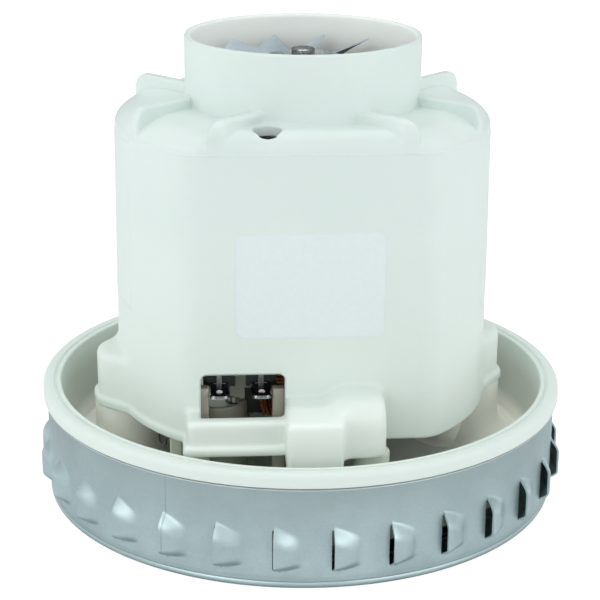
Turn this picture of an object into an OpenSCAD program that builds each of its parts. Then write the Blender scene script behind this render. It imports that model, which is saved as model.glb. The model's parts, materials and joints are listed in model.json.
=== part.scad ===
// Vacuum motor unit: a louvred fan casing, a moulded motor bracket with a thick
// rim, a moulded cover with an air neck, and the universal motor, its bearings,
// brushes, cooling fan and impeller inside.
// Millimetres, +Z up along the shaft, Z = 0 on the underside of the casing,
// -Y towards the flat of the cover that has the terminal window.

/* [Casing] */
// Outer radius of the pressed casing wall
casing_r = 71.2; // [71:0.1:71.4]
// Height of the casing wall
casing_h = 27.6; // [27.2:0.1:27.8]
// Sheet thickness
sheet_t = 0.8; // [0.6:0.1:0.9]
// Number of louvres round the wall
louvre_count = 30; // [24:2:32]
// How far a louvre stands out of the wall
louvre_out = 2.6; // [1.8:0.1:3]
// Height of a louvre
louvre_h = 13; // [9:0.5:14]
// Height of the middle of the louvres
louvre_z = 10.5; // [9:0.5:12]
// Radius of the air inlet hole in the underside
inlet_r = 22; // [20:0.5:22]

/* [Bracket] */
// Outer radius of the moulded rim
rim_r = 72; // [71.8:0.1:73]
// Top of the rim
rim_top = 31.9; // [31:0.1:33]
// Upper face of the trough floor
floor_z = 10.8; // [10.6:0.1:11.2]
// Distance of the spigots on the two side pillars from the shaft
pillar_x = 49; // [48.8:0.1:49.2]
// Turn of the side pillars and of the lugs above them about the shaft
lug_turn = 7.5; // [6:0.5:8]

/* [Cover] */
// Radius of the cover's round wall
cover_r = 50.3; // [50:0.1:51]
// Distance of the front and rear flats from the shaft
cover_flat = 40; // [39.8:0.1:41]
// Wall thickness of the cover
cover_t = 2; // [1.6:0.1:2]
// Lower edge of the cover
cover_z0 = 26.9; // [26.8:0.1:27.4]
// Top edge of the round wall
shoulder_z = 104.3; // [103.5:0.1:105]
// Height of the dome at the neck
dome_z = 109.8; // [109:0.1:110.5]
// Outer radius of the air neck
neck_r = 32; // [31.5:0.1:33]
// Top of the air neck
neck_top = 127.5; // [126:0.1:130]
// Thickness of the ribs on the shoulder
rib_t = 3.4; // [3:0.1:3.8]

/* [Motor] */
// Width of the stator lamination
stator_w = 80; // [78:1:82]
// Depth of the stator lamination
stator_d = 70; // [68:1:72]
// Underside of the lamination stack
stack_z0 = 46; // [46:0.5:46.5]
// Top of the lamination stack
stack_z1 = 80; // [79:0.5:80]
// Radius of the armature
armature_r = 22; // [21:0.1:22]
// Radius of the commutator
commutator_r = 11; // [10.5:0.1:11]
// Height of the brushes above the underside
brush_z = 29.5; // [29.3:0.1:29.7]
// Radius of the impeller
impeller_r = 62; // [58:1:63]
// Number of impeller blades
impeller_blade_count = 8; // [6:1:9]
// Radius of the cooling fan's blade tips
fan_r = 26; // [24:0.5:27]
// Number of cooling fan blades
fan_blade_count = 12; // [8:1:14]

/* [Hidden] */
$fn = 96;

white = [0.90, 0.93, 0.91];
cream = [0.84, 0.85, 0.80];
zinc = [0.62, 0.68, 0.71];
steel = [0.72, 0.73, 0.74];
copper = [0.62, 0.32, 0.18];
brass = [0.80, 0.66, 0.35];
black = [0.10, 0.10, 0.12];

bore_t = 0.03;              // slip between a bearing seat and its ring
low_bz = 13.5;              // underside of the lower bearing
up_bz = 98;                 // underside of the upper bearing
bear_w = 7;                 // width of both bearings
bear_ri = 4;                // bore radius of both bearings
bear_ro = 11;               // outside radius of both bearings
ball_n = 7;
ball_r = 1.95;
ball_pr = 7.5;
fan_z = 118.6;              // underside of the cooling fan's disc
fan_tip_z = 122.7;          // raised edges of the cooling fan's blades
fan_pitch = 29;             // pitch of the cooling fan's blades
rib_z = 112.7;              // top of the ribs
screw_x = 42;               // stator screws
louvre_a = 5.6;             // angle one louvre covers
louvre_a0 = 2.9 - 90;       // angle of the first louvre's open edge

function arc(cx, cy, rx, ry, a0, a1, n) =
  [for (i = [0:n]) let (a = a0 + (a1 - a0) * i / n) [cx + rx * cos(a), cy + ry * sin(a)]];
function pol(r, a) = [r * cos(a), r * sin(a)];

module tube(r1, r2, z1, z2) {
  translate([0, 0, z1]) difference() {
    cylinder(r = r2, h = z2 - z1);
    translate([0, 0, -1]) cylinder(r = r1, h = z2 - z1 + 2);
  }
}
module block(x1, x2, y1, y2, z1, z2) {
  translate([x1, y1, z1]) cube([x2 - x1, y2 - y1, z2 - z1]);
}
// Side profile (y, z) extruded along X from x1 to x2
module along_x(x1, x2, pts) {
  translate([x1, 0, 0]) rotate([90, 0, 90]) linear_extrude(height = x2 - x1) polygon(pts);
}
// Side profile (x, z) extruded along Y, centred, w wide
module along_y(w, pts) {
  translate([0, w / 2, 0]) rotate([90, 0, 0]) linear_extrude(height = w) polygon(pts);
}
module sector(r, a0, a1, z1, z2) {
  translate([0, 0, z1]) linear_extrude(height = z2 - z1)
    polygon(concat([[0, 0]], [for (i = [0:12]) pol(r, a0 + (a1 - a0) * i / 12)]));
}
// Arc band between two radii and two angles
module band(r1, r2, a0, a1, z1, z2) {
  intersection() {
    tube(r1, r2, z1, z2);
    sector(r2 * 1.6, a0, a1, z1 - 1, z2 + 1);
  }
}

// ---- fan casing ---------------------------------------------------------
module casing_cup() {
  rotate_extrude() polygon(concat(
    [[inlet_r, 0]],
    arc(casing_r - 2.5, 2.5, 2.5, 2.5, -90, 0, 6),
    [[casing_r, casing_h], [casing_r - sheet_t, casing_h]],
    arc(casing_r - 2.5, 2.5, 2.5 - sheet_t, 2.5 - sheet_t, 0, -90, 5),
    [[inlet_r + sheet_t, sheet_t], [inlet_r + sheet_t, 2.4], [inlet_r, 2.4]]));
}
module louvre_outer(a) {
  translate([0, 0, louvre_z - louvre_h / 2]) linear_extrude(height = louvre_h)
    polygon(concat(
      [pol(casing_r - sheet_t * 0.5, a)],
      [for (i = [0:4]) pol(casing_r + louvre_out * cos(90 * i / 4), a + louvre_a * i / 4)],
      [pol(casing_r - sheet_t * 0.5, a + louvre_a)]));
}
module louvre_inner(a) {
  translate([0, 0, louvre_z - louvre_h / 2 + sheet_t]) linear_extrude(height = louvre_h - 2 * sheet_t)
    polygon(concat(
      [pol(casing_r - 3, a - 0.3), pol(casing_r + louvre_out - sheet_t, a - 0.3)],
      [for (i = [0:3]) pol(casing_r - sheet_t + louvre_out * cos(90 * i / 4), a + louvre_a * i / 4)],
      [pol(casing_r - 3, a + louvre_a * 0.8)]));
}
module fan_casing() color(zinc) difference() {
  union() {
    casing_cup();
    for (k = [0:louvre_count - 1]) louvre_outer(louvre_a0 + k * 360 / louvre_count);
  }
  for (k = [0:louvre_count - 1]) louvre_inner(louvre_a0 + k * 360 / louvre_count);
}

// ---- motor bracket ------------------------------------------------------
module bracket_dish() {
  rotate_extrude() polygon(concat(
    [[7, floor_z - 1.5], [66.8, floor_z - 1.5], [68.7, 21.5], [casing_r - sheet_t - 0.1, 21.5],
     [casing_r - sheet_t - 0.1, casing_h], [rim_r, casing_h]],
    arc(rim_r - 2, rim_top - 2, 2, 2, 0, 90, 6),
    [[69.3, rim_top], [69.0, rim_top - 0.6], [68.6, rim_top - 0.6], [68.4, rim_top]],
    [[67.7, rim_top], [67.3, rim_top - 0.5], [65.2, floor_z + 1], [64.2, floor_z],
     [15, floor_z], [15, 21.5], [bear_ro + bore_t, 21.5], [bear_ro + bore_t, low_bz], [7, low_bz]]));
}
// Plan of a side lug, e outside the lug's own wall
module lug_plan(e) {
  polygon([[41, -20 - e], [44, -18 - e], [50, -12.6 - e], [54.4, -7.6 - e], [57 + e, -4.2],
           [57 + e, 4.2], [54.4, 7.6 + e], [50, 12.6 + e], [44, 18 + e], [41, 20 + e]]);
}
module bracket_pillar(s) {
  rotate([0, 0, lug_turn + (s > 0 ? 0 : 180)]) {
    // round pillar with a broad foot, and the spigot on it
    translate([pillar_x, 0, floor_z - 0.5]) cylinder(r = 9.2, h = cover_z0 - floor_z + 0.3);
    translate([pillar_x, 0, floor_z - 0.4]) cylinder(r1 = 13.6, r2 = 9, h = 5.4);
    translate([pillar_x, 0, floor_z]) cylinder(r = 5.5, h = 38 - floor_z);
  }
  translate([s * screw_x, 0, floor_z - 1]) cylinder(r = 4.8, h = stack_z0 - floor_z + 1);
}
module motor_bracket() color(cream) difference() {
  union() {
    bracket_dish();
    for (s = [-1, 1]) {
      bracket_pillar(s);
      translate([s * 18, 0, floor_z - 1]) cylinder(r = 3.5, h = 21.5 - floor_z + 1);
      // stands under the brush holders
      block(-5, 5, s > 0 ? 28 : -54, s > 0 ? 54 : -28, floor_z - 1, 24);
    }
    // side walls and curved guide of the terminal bay
    block(-31, -26.6, -36.8, -33.5, floor_z - 1, 41);
    block(-9.9, -6.6, -36.8, -33.5, floor_z - 1, 40.6);
    translate([-24, -25.2, 0]) band(6.7, 8.1, -114, -12, floor_z - 1, 34);
    // upright block left of the ledge and post beside the front brush box
    block(-37, -33.8, -32.4, -29.2, floor_z - 1, cover_z0 - 0.3);
    translate([15.5, -44.5, floor_z - 1]) cylinder(r = 4.8, h = 26.4 - floor_z + 1);
  }
  for (s = [-1, 1]) {
    translate([s * screw_x, 0, 30]) cylinder(r = 2, h = 20);
    translate([s * 18, 0, 13.5]) cylinder(r = 1.5, h = 10);
  }
}

// ---- motor cover --------------------------------------------------------
// Round wall with two flats and a domed shoulder, d inside the outer face
module cover_body(d, z0) {
  intersection() {
    rotate_extrude() polygon(concat(
      [[0, z0], [cover_r - d, z0]],
      arc(38.3, shoulder_z - d * 0.9, 12 + cover_r - 50.3 - d, dome_z - shoulder_z - d * 0.1, 0, 90, 8),
      [[0, dome_z - d]]));
    along_x(-60, 60, concat(
      [[cover_flat - d, z0]],
      arc(cover_flat - 8, shoulder_z - d * 0.9, 8 - d, dome_z - shoulder_z - d * 0.1, 0, 90, 8),
      arc(-cover_flat + 8, shoulder_z - d * 0.9, 8 - d, dome_z - shoulder_z - d * 0.1, 90, 180, 8),
      [[-cover_flat + d, z0]]));
  }
}
module cover_bands() {
  for (a = [0, 180]) rotate([0, 0, a]) intersection() {
    tube(cover_r - 1, cover_r + 0.7, cover_z0 + 3.2, shoulder_z - 0.6);
    sector(70, -25, 25, cover_z0, shoulder_z);
  }
}
// Rib along the diagonal of a quarter, m beside the diagonal, ending at e1 from the shaft
module cover_rib(m, e1) {
  rotate([0, 0, 45]) translate([0, -m, 0]) along_y(rib_t, concat(
    [[27, 101], [27, rib_z], [e1 - 3.8, rib_z]],
    arc(e1 - 3.8, rib_z - 4.4, 3.8, 4.4, 75, 0, 5),
    [[e1, 101]]));
}
module cover_lug() {
  rotate([0, 0, lug_turn]) {
    translate([0, 0, cover_z0 + 1]) linear_extrude(height = 39.8 - cover_z0) lug_plan(0);
    translate([0, 0, 40]) linear_extrude(height = 2) lug_plan(-1.2);
    // bead along the foot, a little lower than the wall's edge
    translate([0, 0, cover_z0 - 0.1]) linear_extrude(height = 2.6) lug_plan(1);
  }
}
// Box over a brush holder with the wiring boss beside it
module brush_box_outer() {
  along_x(-7.2, 7.2, [[-39, 24.6], [-58, 24.6], [-58, 36.8], [-57, 38], [-41, 40.8], [-39, 41]]);
  along_x(5, 18.9, [[-39, cover_z0], [-52, cover_z0], [-52, 36.4], [-50.6, 39.8], [-47.5, 42.2], [-43.5, 43.2], [-39, 43.3]]);
}
module brush_box_inner() {
  block(-5.5, 5.5, -56.2, -30, cover_z0 - 4, 36);
  block(8.8, 17.1, -50.2, -30, cover_z0 - 1, 38);
}
module motor_cover() color(white) difference() {
  union() {
    cover_body(0, cover_z0);
    cover_bands();
    translate([0, 0, dome_z - 4]) cylinder(r = neck_r, h = neck_top - dome_z + 4);
    // low collar in place of the fillet round the foot of the neck, level with the ribs
    translate([0, 0, dome_z - 4]) cylinder(r = neck_r + 1.1, h = rib_z + 0.1 - dome_z + 4);
    intersection() {
      union() for (x = [0, 1], y = [0, 1]) mirror([x, 0, 0]) mirror([0, y, 0]) {
        cover_rib(-10.7, 46.6);
        cover_rib(14.5, 48.6);
      }
      block(-60, 60, -cover_flat, cover_flat, 90, 120);
      cylinder(r = cover_r, h = 150);
    }
    for (a = [0, 180]) rotate([0, 0, a]) { cover_lug(); brush_box_outer(); }
    // bead along the left of the lower edge, ledge under the window and its bead
    band(cover_r - 1, cover_r + 1.7, -165, -127, cover_z0, cover_z0 + 2.4);
    block(-32.5, -7, -48, -30, cover_z0, 36);
    block(-33.5, -7, -49.3, -30, cover_z0, cover_z0 + 2.2);
  }
  difference() {
    cover_body(cover_t, cover_z0 - 1);
    // thick spot round the vent hole
    translate([-11.3, -35, dome_z - 2.9]) cylinder(r = 5.6, h = 2.9);
  }
  translate([0, 0, dome_z - 8]) cylinder(r = neck_r - 2, h = neck_top);
  for (a = [0, 180]) rotate([0, 0, a]) {
    brush_box_inner();
    rotate([0, 0, lug_turn]) translate([pillar_x, 0, cover_z0 - 1]) cylinder(r = 6.3, h = 13.2);
  }
  block(-30.5, -7.4, -46.2, -30, cover_z0 - 1, 34);
  // terminal window, cut through the wall and into the top of the ledge
  block(-28.4, -6.95, -44.3, -30, 33.4, 46);
  // vent hole in the dome
  translate([-11.3, -35, dome_z - 8]) cylinder(r = 3.7, h = 12);
}

module rating_label() color("white") translate([-0.4, -cover_flat, 69.8]) rotate([90, 0, 0])
  linear_extrude(height = 0.15) union() {
    square([38.2, 23.6], center = true);
    square([34.2, 27.6], center = true);
    for (x = [-17.1, 17.1], y = [-11.8, 11.8]) translate([x, y]) circle(r = 2);
  }

// ---- stator -------------------------------------------------------------
module stator_core() color(steel) difference() {
  union() {
    translate([0, 0, stack_z0]) linear_extrude(height = stack_z1 - stack_z0) union() {
      square([stator_w, stator_d - 28], center = true);
      square([stator_w - 28, stator_d], center = true);
      for (x = [-1, 1], y = [-1, 1]) translate([x * (stator_w / 2 - 14), y * (stator_d / 2 - 14)]) circle(r = 14);
    }
    for (s = [-1, 1]) translate([s * screw_x, 0, stack_z0]) cylinder(r = 4.8, h = stack_z1 - stack_z0);
  }
  translate([0, 0, stack_z0 - 1]) cylinder(r = armature_r + 0.6, h = stack_z1 - stack_z0 + 2);
  for (a = [0, 180]) rotate([0, 0, a]) {
    band(20, 33.4, -38, 38, stack_z0 - 1, stack_z1 + 1);
    band(26, 33.4, -58, 58, stack_z0 - 1, stack_z1 + 1);
  }
  for (s = [-1, 1]) translate([s * screw_x, 0, stack_z0 - 1]) cylinder(r = 2.1, h = stack_z1 - stack_z0 + 2);
}
module field_coil(turn) {
  rotate([0, 0, turn]) {
    band(24, 29, -166, -14, 35.7, stack_z0);
    band(24, 29, -166, -14, stack_z1, 91);
    band(26.3, 33.1, -57, -14, stack_z0 - 2, stack_z1 + 2);
    band(26.3, 33.1, -166, -123, stack_z0 - 2, stack_z1 + 2);
  }
}
module front_field_coil() color(copper) union() {
  field_coil(0);
  // lead strands hanging from the lower head
  band(26.4, 29, -117, -108.5, 30.6, 37);
}
module rear_field_coil() color(copper) field_coil(180);
module coil_insulators() color(white) {
  for (t = [0, 180]) rotate([0, 0, t]) {
    band(29.1, 30.1, -152, -112, 33, stack_z0 - 2.1);
    band(29.1, 30.1, -68, -28, 36, stack_z0 - 2.1);
    band(29.1, 30.1, -118, -62, stack_z1, 90);
  }
}

// ---- terminals ----------------------------------------------------------
tab_x = [-23.8, -12.8];
module terminal_block() color(black) difference() {
  union() {
    block(tab_x[0] - 4.2, tab_x[0] + 4.2, -32.6, -30.6, 40, stack_z0);
    block(tab_x[1] - 4, tab_x[1] + 4, -32.6, -30.6, 40, stack_z0);
    block(tab_x[0] - 4, tab_x[1] + 3.8, -31.4, -30.6, 44.6, stack_z0);
  }
  for (x = tab_x) block(x - 1.5, x + 1.5, -31.7, -30, 39, stack_z0 - 1.5);
}
module terminal_tabs() color(steel) for (x = tab_x) {
  difference() {
    union() {
      // tab that dips slightly towards the window, with its root and upright strip
      intersection() {
        along_x(x - 2.6, x + 2.6, [[-32.6, 40.2], [-39.4, 38.7], [-39.5, 39.5], [-33.4, 40.9], [-33.4, 41.4], [-32.6, 41.4]]);
        translate([0, 0, 38]) linear_extrude(height = 5)
          polygon([[x - 2.6, -30], [x - 2.6, -38.2], [x - 1.2, -39.5], [x + 1.2, -39.5], [x + 2.6, -38.2], [x + 2.6, -30]]);
      }
      block(x - 0.67, x + 0.67, -33.4, -32.6, 41, 45.6);
    }
    translate([x, -36.2, 37]) cylinder(r = 0.9, h = 5);
  }
}

// ---- brush gear ---------------------------------------------------------
module brush_holder(a) {
  rotate([0, 0, a]) difference() {
    block(-5, 5, -54.5, -16, 24, 35.4);
    block(-3.75, 3.75, -56, -15, brush_z - 4.75, brush_z + 4.75);
  }
}
module brush_sleeve(a) {
  rotate([0, 0, a]) difference() {
    block(-3.7, 3.7, -54.4, -13.4, brush_z - 4.7, brush_z + 4.7);
    block(-3.15, 3.15, -56, -12, brush_z - 4.15, brush_z + 4.15);
  }
}
module brush_cap(a) {
  rotate([0, 0, a]) {
    block(-4.8, 4.8, -55.6, -54.6, 24.2, 35.2);
    block(-2.4, 2.4, -54.6, -53.6, brush_z - 2.4, brush_z + 2.4);
  }
}
// Wound wire spring along Y, swept from a rule
spring_turns = 7;
spring_seg = 14;
spring_y0 = -35.2;
spring_y1 = -53.4;
wire_r = 0.35;
function coil_pt(i) = let (t = i / spring_seg) [2.4 * cos(360 * t), spring_y0 - wire_r + (spring_y1 - spring_y0 + 2 * wire_r) * t / spring_turns, 2.4 * sin(360 * t)];
function coil_rad(i) = let (t = i / spring_seg) [cos(360 * t), 0, sin(360 * t)];
module spring_wire() {
  n = spring_turns * spring_seg;
  m = 6;
  pts = [for (i = [0:n], j = [0:m - 1]) coil_pt(i) + wire_r * (cos(360 * j / m) * coil_rad(i) + sin(360 * j / m) * [0, 1, 0])];
  side = [for (i = [0:n - 1], j = [0:m - 1]) [i * m + j, i * m + (j + 1) % m, (i + 1) * m + (j + 1) % m, (i + 1) * m + j]];
  polyhedron(points = pts, faces = concat(side, [[for (j = [m - 1:-1:0]) j]], [[for (j = [0:m - 1]) n * m + j]]));
}
module front_brush_holder() color(black) brush_holder(0);
module rear_brush_holder() color(black) brush_holder(180);
module front_brush_sleeve() color(brass) brush_sleeve(0);
module rear_brush_sleeve() color(brass) brush_sleeve(180);
module front_brush_cap() color(brass) brush_cap(0);
module rear_brush_cap() color(brass) brush_cap(180);
module front_brush_spring() color(steel) translate([0, 0, brush_z]) spring_wire();
module rear_brush_spring() color(steel) rotate([0, 0, 180]) translate([0, 0, brush_z]) spring_wire();
module carbon(a) {
  rotate([0, 0, a]) difference() {
    block(-3, 3, -35, -10, brush_z - 4, brush_z + 4);
    translate([0, 0, brush_z - 6]) cylinder(r = commutator_r + 0.12, h = 12);
  }
}
module front_brush() color([0.2, 0.2, 0.2]) carbon(0);
module rear_brush() color([0.2, 0.2, 0.2]) carbon(180);

// ---- bearings -----------------------------------------------------------
module outer_ring(z) {
  rotate_extrude() difference() {
    translate([9.1, z]) square([bear_ro - 9.1, bear_w]);
    translate([ball_pr, z + bear_w / 2]) circle(r = ball_r + 0.08);
  }
}
module inner_ring(z) {
  rotate_extrude() difference() {
    translate([bear_ri + 0.01, z]) square([5.9 - bear_ri - 0.01, bear_w]);
    translate([ball_pr, z + bear_w / 2]) circle(r = ball_r + 0.08);
  }
}
module balls(z) {
  for (k = [0:ball_n - 1]) rotate([0, 0, k * 360 / ball_n]) translate([ball_pr, 0, z + bear_w / 2]) sphere(r = ball_r, $fn = 48);
}
module cage(z) {
  difference() {
    tube(6.7, 8.3, z + 0.6, z + bear_w / 2 + 0.8);
    for (k = [0:ball_n - 1]) rotate([0, 0, k * 360 / ball_n]) translate([ball_pr, 0, z + bear_w / 2]) sphere(r = ball_r + 0.05, $fn = 48);
  }
}
module upper_bearing_outer_ring() color(steel) outer_ring(up_bz);
module upper_bearing_inner_ring() color(steel) inner_ring(up_bz);
module upper_bearing_balls() color(steel) balls(up_bz);
module upper_bearing_cage() color(brass) cage(up_bz);
module lower_bearing_outer_ring() color(steel) outer_ring(low_bz);
module lower_bearing_inner_ring() color(steel) inner_ring(low_bz);
module lower_bearing_balls() color(steel) balls(low_bz);
module lower_bearing_cage() color(brass) cage(low_bz);

module upper_bearing_bridge() color(zinc) difference() {
  union() {
    tube(13, 15.2, 96.5, 106);
    tube(9.6, 13.5, 96.5, 97.7);
    for (a = [0, 180]) rotate([0, 0, a]) {
      along_y(10, [[14, 97], [14, 104], [22, 103.5], [34, 98], [39, 86], [39, 83], [46, 83], [46, stack_z1], [35, stack_z1], [34.4, 85], [30, 95], [24, 97]]);
      translate([screw_x, 0, stack_z1]) cylinder(r = 4.8, h = 3);
    }
  }
  for (s = [-1, 1]) translate([s * screw_x, 0, stack_z1 - 1]) cylinder(r = 2.1, h = 5);
  for (s = [-1, 1]) translate([s * screw_x, 0, 83]) cylinder(r = 4, h = 6);
  translate([0, 0, 97.7]) cylinder(r = 13, h = 10);
}
module upper_bearing_damper() color(black) tube(bear_ro + bore_t, 13 - bore_t, 97.8, 105.4);
module lower_bearing_retainer() color(zinc) difference() {
  union() {
    translate([0, 0, 21.5]) cylinder(r = 15, h = 1.2);
    for (s = [-1, 1]) translate([s * 18, 0, 21.5]) cylinder(r = 3.5, h = 1.2);
  }
  translate([0, 0, 20]) cylinder(r = 9.4, h = 4);
  for (s = [-1, 1]) translate([s * 18, 0, 20]) cylinder(r = 1.6, h = 4);
}
module retainer_screws() color(steel) for (s = [-1, 1]) translate([s * 18, 0, 0]) difference() {
  union() {
    translate([0, 0, 14]) cylinder(r = 1.45, h = 8.8);
    translate([0, 0, 22.7]) cylinder(r = 2.8, h = 1.8);
  }
  block(-0.5, 0.5, -2, 2, 23.7, 25);
  block(-2, 2, -0.5, 0.5, 23.7, 25);
}
module stator_screws() color(steel) for (s = [-1, 1]) translate([s * screw_x, 0, 0]) difference() {
  union() {
    translate([0, 0, 32]) cylinder(r = 1.95, h = 51.2);
    translate([0, 0, 83]) cylinder(r = 3.6, h = 2.6);
  }
  block(-0.6, 0.6, -2.4, 2.4, 84.4, 87);
  block(-2.4, 2.4, -0.6, 0.6, 84.4, 87);
}

// ---- rotor --------------------------------------------------------------
module rotor_shaft() color(steel) union() {
  translate([0, 0, 2.8]) cylinder(r = bear_ri, h = 18);
  translate([0, 0, 20.7]) cylinder(r = 5, h = 77.1);
  translate([0, 0, 97.7]) cylinder(r = bear_ri, h = 9.3);
  translate([0, 0, 106.9]) cylinder(r = 3, h = 16.6);
}
module armature_core() color(zinc) difference() {
  translate([0, 0, stack_z0]) cylinder(r = armature_r, h = stack_z1 - stack_z0);
  translate([0, 0, stack_z0 - 1]) cylinder(r = 5.02, h = stack_z1 - stack_z0 + 2);
  for (k = [0:11]) rotate([0, 0, k * 30]) translate([0, 0, stack_z0 - 1]) {
    translate([15.8, 0, 0]) cylinder(r = 2.8, h = stack_z1 - stack_z0 + 2);
    translate([16, -0.9, 0]) cube([8, 1.8, stack_z1 - stack_z0 + 2]);
  }
}
module armature_windings() color(copper) union() {
  rotate_extrude() polygon([[5.05, 37.2], [11.6, 37.2], [15, 38.6], [19, 41.5], [20.2, 44], [20.2, stack_z0], [5.05, stack_z0]]);
  rotate_extrude() polygon([[5.05, stack_z1], [20.2, stack_z1], [20.2, 82.5], [18.8, 86], [15, 89], [10, 90.5], [5.05, 90.5]]);
  for (k = [0:11]) rotate([0, 0, k * 30]) translate([15.8, 0, stack_z0 - 1]) cylinder(r = 2.7, h = stack_z1 - stack_z0 + 2);
}
module commutator() color(copper) difference() {
  union() {
    tube(7.5, commutator_r, 23.4, 36.6);
    tube(7.5, 12.4, 34.4, 36.6);
  }
  for (k = [0:23]) rotate([0, 0, k * 15]) block(10, 14, -0.25, 0.25, 23, 37);
}
module commutator_hub() color([0.35, 0.2, 0.12]) tube(5.02, 7.47, 23.1, 37);

// ---- cooling fan --------------------------------------------------------
// One pitched blade: a tapered plate that rises towards its leading edge
module fan_blade() {
  h = 0.24 * fan_r;
  translate([0, 0, fan_tip_z - h * sin(fan_pitch) - 0.4]) rotate([-fan_pitch, 0, 0])
    translate([0, 0, -0.4]) linear_extrude(height = 0.8)
      polygon([[9.4, -2.1], [fan_r, -h], [fan_r, h], [9.4, 2.1]]);
}
module cooling_fan() color(steel) union() {
  tube(3.05, 10.6, fan_z, fan_z + 0.8);
  tube(9.2, 10.6, fan_z, fan_z + 2.6);
  for (k = [0:fan_blade_count - 1]) rotate([0, 0, 11.5 + 13 + k * 360 / fan_blade_count]) fan_blade();
}
module fan_spacer() color(zinc) tube(3.05, 6.5, 107.1, fan_z - 0.05);
module fan_washer() color(steel) tube(3.05, 7.5, fan_z + 0.85, fan_z + 1.6);
module fan_nut() color(zinc) translate([0, 0, fan_z + 1.65]) difference() {
  cylinder(r = 5.8, h = 1.8, $fn = 6);
  translate([0, 0, -1]) cylinder(r = 3.03, h = 8);
}

// ---- impeller -----------------------------------------------------------
blade_in = 27;
function blade_pt(t, o) = let (r = blade_in + (impeller_r - 1 - blade_in) * t, a = 62 * t) pol(r, a) + o * [-sin(a + 35), cos(a + 35)];
module impeller_hub_disc() color(zinc) tube(4.03, impeller_r, 8, 8.8);
module impeller_blades() color(zinc) for (k = [0:impeller_blade_count - 1]) rotate([0, 0, k * 360 / impeller_blade_count])
  translate([0, 0, 3.85]) linear_extrude(height = 4.1) polygon(concat(
    [for (i = [0:10]) blade_pt(i / 10, 0)], [for (i = [10:-1:0]) blade_pt(i / 10, 0.9)]));
module impeller_shroud() color(zinc) rotate_extrude() polygon([[23.8, 1.7], [24.6, 1.7], [24.6, 2.6], [26, 3], [impeller_r, 3], [impeller_r, 3.8], [25.6, 3.8], [23.8, 3.2]]);
module impeller_spacer() color(steel) tube(4.03, 6.4, 8.85, low_bz - 0.05);
module impeller_washer() color(steel) tube(4.03, 9, 7.1, 7.95);
module impeller_nut() color(zinc) translate([0, 0, 3.2]) difference() {
  cylinder(r = 7.4, h = 3.85, $fn = 6);
  translate([0, 0, -1]) cylinder(r = 4.03, h = 6);
}

fan_casing();
motor_bracket();
motor_cover();
rating_label();
stator_core();
front_field_coil();
rear_field_coil();
coil_insulators();
terminal_block();
terminal_tabs();
front_brush_holder();
rear_brush_holder();
front_brush_sleeve();
rear_brush_sleeve();
front_brush_cap();
rear_brush_cap();
front_brush_spring();
rear_brush_spring();
front_brush();
rear_brush();
upper_bearing_bridge();
upper_bearing_damper();
upper_bearing_outer_ring();
upper_bearing_inner_ring();
upper_bearing_balls();
upper_bearing_cage();
lower_bearing_outer_ring();
lower_bearing_inner_ring();
lower_bearing_balls();
lower_bearing_cage();
lower_bearing_retainer();
retainer_screws();
stator_screws();
rotor_shaft();
armature_core();
armature_windings();
commutator();
commutator_hub();
cooling_fan();
fan_spacer();
fan_washer();
fan_nut();
impeller_hub_disc();
impeller_blades();
impeller_shroud();
impeller_spacer();
impeller_washer();
impeller_nut();
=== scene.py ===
import bpy, bmesh, json, math
import numpy as np
from mathutils import Vector, Matrix


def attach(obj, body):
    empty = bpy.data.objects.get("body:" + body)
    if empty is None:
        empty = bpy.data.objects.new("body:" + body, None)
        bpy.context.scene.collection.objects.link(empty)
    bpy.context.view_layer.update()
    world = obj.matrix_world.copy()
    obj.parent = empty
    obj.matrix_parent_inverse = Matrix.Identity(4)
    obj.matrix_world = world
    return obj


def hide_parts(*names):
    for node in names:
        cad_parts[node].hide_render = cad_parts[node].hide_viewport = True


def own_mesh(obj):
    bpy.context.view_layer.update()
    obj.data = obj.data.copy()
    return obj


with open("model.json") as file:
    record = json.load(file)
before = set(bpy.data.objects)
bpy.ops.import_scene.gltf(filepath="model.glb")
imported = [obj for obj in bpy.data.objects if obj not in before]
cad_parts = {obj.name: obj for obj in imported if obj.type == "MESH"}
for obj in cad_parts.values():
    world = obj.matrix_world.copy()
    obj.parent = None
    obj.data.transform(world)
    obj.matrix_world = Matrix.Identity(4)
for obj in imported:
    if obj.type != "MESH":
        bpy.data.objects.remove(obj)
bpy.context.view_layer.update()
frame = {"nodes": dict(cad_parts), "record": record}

scene = bpy.context.scene
MM = 0.001


# ------------------------------------------------------------------ camera
def add_camera():
    p, a, roll = math.radians(18.896), math.radians(4.0), math.radians(0.412)
    fwd = Vector((math.sin(a) * math.cos(p), math.cos(a) * math.cos(p), -math.sin(p)))
    rgt = Vector((math.cos(a), -math.sin(a), 0.0))
    up = Vector((math.sin(a) * math.sin(p), math.cos(a) * math.sin(p), math.cos(p)))
    r2 = rgt * math.cos(roll) + up * math.sin(roll)
    u2 = up * math.cos(roll) - rgt * math.sin(roll)
    cam = bpy.data.cameras.new("camera")
    cam.sensor_width = 36.0
    cam.lens = 105.6
    cam.shift_x = -0.0014
    cam.clip_start, cam.clip_end = 0.01, 50.0
    ob = bpy.data.objects.new("camera", cam)
    scene.collection.objects.link(ob)
    loc = Vector((-0.03258, -0.46435, 0.21180))
    ob.matrix_world = Matrix(((r2.x, u2.x, -fwd.x, loc.x), (r2.y, u2.y, -fwd.y, loc.y),
                              (r2.z, u2.z, -fwd.z, loc.z), (0, 0, 0, 1)))
    scene.camera = ob


add_camera()


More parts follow.
